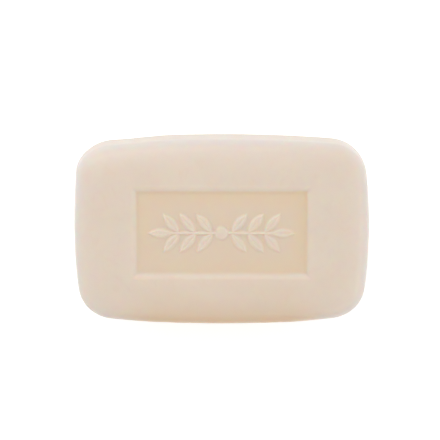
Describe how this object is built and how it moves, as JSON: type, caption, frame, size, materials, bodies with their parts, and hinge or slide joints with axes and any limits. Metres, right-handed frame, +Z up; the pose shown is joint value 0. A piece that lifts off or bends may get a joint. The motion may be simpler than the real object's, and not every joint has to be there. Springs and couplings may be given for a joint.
{
  "type": "bar of soap",
  "caption": "Pressed bar of toilet soap with rounded edges and a sunk rectangular panel holding a low raised spray of plain leaves.",
  "frame": {"origin": "middle of the flat back that the bar rests on", "axes": "+X along the bar's length, +Y across its width, +Z up through the stamped face"},
  "size_m": [0.088, 0.0564, 0.028],
  "materials": {
    "soap": "smooth waxy satin, warm cream"
  },
  "bodies": {
    "root": {"soap_bar": "soap"}
  },
  "joints": []
}
